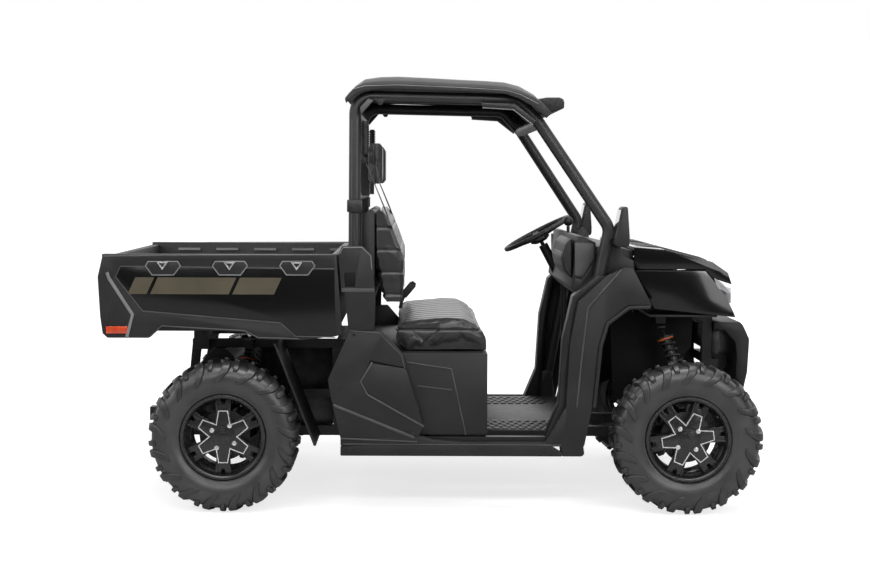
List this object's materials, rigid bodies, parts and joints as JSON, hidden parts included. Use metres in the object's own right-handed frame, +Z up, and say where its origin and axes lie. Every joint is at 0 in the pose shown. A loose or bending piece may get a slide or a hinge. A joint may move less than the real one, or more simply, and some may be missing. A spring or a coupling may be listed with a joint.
{
  "type": "side by side utility vehicle",
  "caption": "Side by side utility vehicle with open doorways, roll cage and roof, bench seat and tipping cargo bed, on lugged off-road tyres.",
  "frame": {"origin": "on the ground, under the middle of the overall box", "axes": "+X forward, +Y to the vehicle's left, +Z up"},
  "size_m": [3.025, 1.61, 1.962],
  "materials": {
    "frame_paint": "satin",
    "cage_paint": "satin",
    "body_plastic": "matte",
    "gloss_plastic": "gloss",
    "vinyl": "matte",
    "webbing": "matte",
    "cast_metal": "matte",
    "shock_metal": "satin",
    "bare_steel": "satin",
    "wheel_grip": "matte",
    "lamp_lens": "gloss",
    "tail_lens": "gloss",
    "tyre_rubber": "matte",
    "rim_paint": "satin"
  },
  "bodies": {
    "chassis": {"cage_crossbars": "cage_paint", "chassis_frame": "frame_paint", "dash_panel": "body_plastic", "drive_line": "cast_metal", "driver_controls": "body_plastic", "engine_block": "cast_metal", "floor_pan": "body_plastic", "front_arms": "frame_paint", "front_bumper": "body_plastic", "front_fascia": "body_plastic", "front_fenders": "body_plastic", "front_shocks": "shock_metal", "front_side_panels": "gloss_plastic", "headlamps": "lamp_lens", "headrests": "vinyl", "hitch_receiver": "frame_paint", "hoop_left": "cage_paint", "hoop_right": "cage_paint", "mirrors": "body_plastic", "muffler": "bare_steel", "pillar_covers": "body_plastic", "quarter_panels": "body_plastic", "radiator": "bare_steel", "rear_arms": "frame_paint", "rear_knuckles": "cast_metal", "rear_shocks": "shock_metal", "rocker_panels": "body_plastic", "roof_panel": "body_plastic", "seat_backs": "vinyl", "seat_base": "body_plastic", "seat_belts": "webbing", "seat_cushions": "vinyl", "steering_column": "frame_paint", "wheel_liners": "body_plastic", "winch": "frame_paint"},
    "bed": {"bed_tub": "body_plastic", "bed_side_panels": "body_plastic", "tie_rings": "bare_steel", "tail_lamps": "tail_lens"},
    "tailgate": {"tailgate": "body_plastic"},
    "hood": {"hood": "gloss_plastic"},
    "steering_wheel": {"steering_wheel": "wheel_grip"},
    "steering_rack": {"steering_rack": "cast_metal"},
    "knuckle_left": {"knuckle_left": "cast_metal"},
    "knuckle_right": {"knuckle_right": "cast_metal"},
    "wheel_front_left": {"tyre_front_left": "tyre_rubber", "rim_front_left": "rim_paint"},
    "wheel_front_right": {"tyre_front_right": "tyre_rubber", "rim_front_right": "rim_paint"},
    "wheel_rear_left": {"tyre_rear_left": "tyre_rubber", "rim_rear_left": "rim_paint"},
    "wheel_rear_right": {"tyre_rear_right": "tyre_rubber", "rim_rear_right": "rim_paint"}
  },
  "joints": [
    {"name": "bed_tilt", "type": "hinge", "parent": "chassis", "child": "bed", "pos_m": [-1.095, 0, 0.762], "axis": [0, -1, 0], "range_deg": [0, 40]},
    {"name": "tailgate_drop", "type": "hinge", "parent": "bed", "child": "tailgate", "pos_m": [-1.481, 0, 0.862], "axis": [0, -1, 0], "range_deg": [0, 90]},
    {"name": "hood_open", "type": "hinge", "parent": "chassis", "child": "hood", "pos_m": [1.276, 0, 0.984], "axis": [0, 1, 0], "range_deg": [0, 60]},
    {"name": "steer_left", "type": "hinge", "parent": "chassis", "child": "knuckle_left", "pos_m": [1.0925, 0.63, 0.336], "axis": [0, 0, 1], "range_deg": [-30, 30]},
    {"name": "steer_right", "type": "hinge", "parent": "chassis", "child": "knuckle_right", "pos_m": [1.0925, -0.63, 0.336], "axis": [0, 0, 1], "range_deg": [-30, 30]},
    {"name": "rack_travel", "type": "slide", "parent": "chassis", "child": "steering_rack", "axis": [0, -1, 0], "range_m": [-0.05, 0.05]},
    {"name": "wheel_turn", "type": "hinge", "parent": "chassis", "child": "steering_wheel", "pos_m": [0.511, 0.35, 1.204], "axis": [-0.4648, 0, 0.8854], "range_deg": [-270, 270]},
    {"name": "spin_front_left", "type": "hinge", "parent": "knuckle_left", "child": "wheel_front_left", "pos_m": [1.0925, 0.69, 0.336], "axis": [0, 1, 0], "continuous": true},
    {"name": "spin_front_right", "type": "hinge", "parent": "knuckle_right", "child": "wheel_front_right", "pos_m": [1.0925, -0.69, 0.336], "axis": [0, 1, 0], "continuous": true},
    {"name": "spin_rear_left", "type": "hinge", "parent": "chassis", "child": "wheel_rear_left", "pos_m": [-0.9575, 0.65, 0.336], "axis": [0, 1, 0], "continuous": true},
    {"name": "spin_rear_right", "type": "hinge", "parent": "chassis", "child": "wheel_rear_right", "pos_m": [-0.9575, -0.65, 0.336], "axis": [0, 1, 0], "continuous": true}
  ],
  "couplings": [
    {"joint": "steer_right", "follows": "steer_left", "ratio": 1},
    {"joint": "rack_travel", "follows": "steer_left", "m_per_rad": 0.0909},
    {"joint": "wheel_turn", "follows": "steer_left", "ratio": 9}
  ]
}
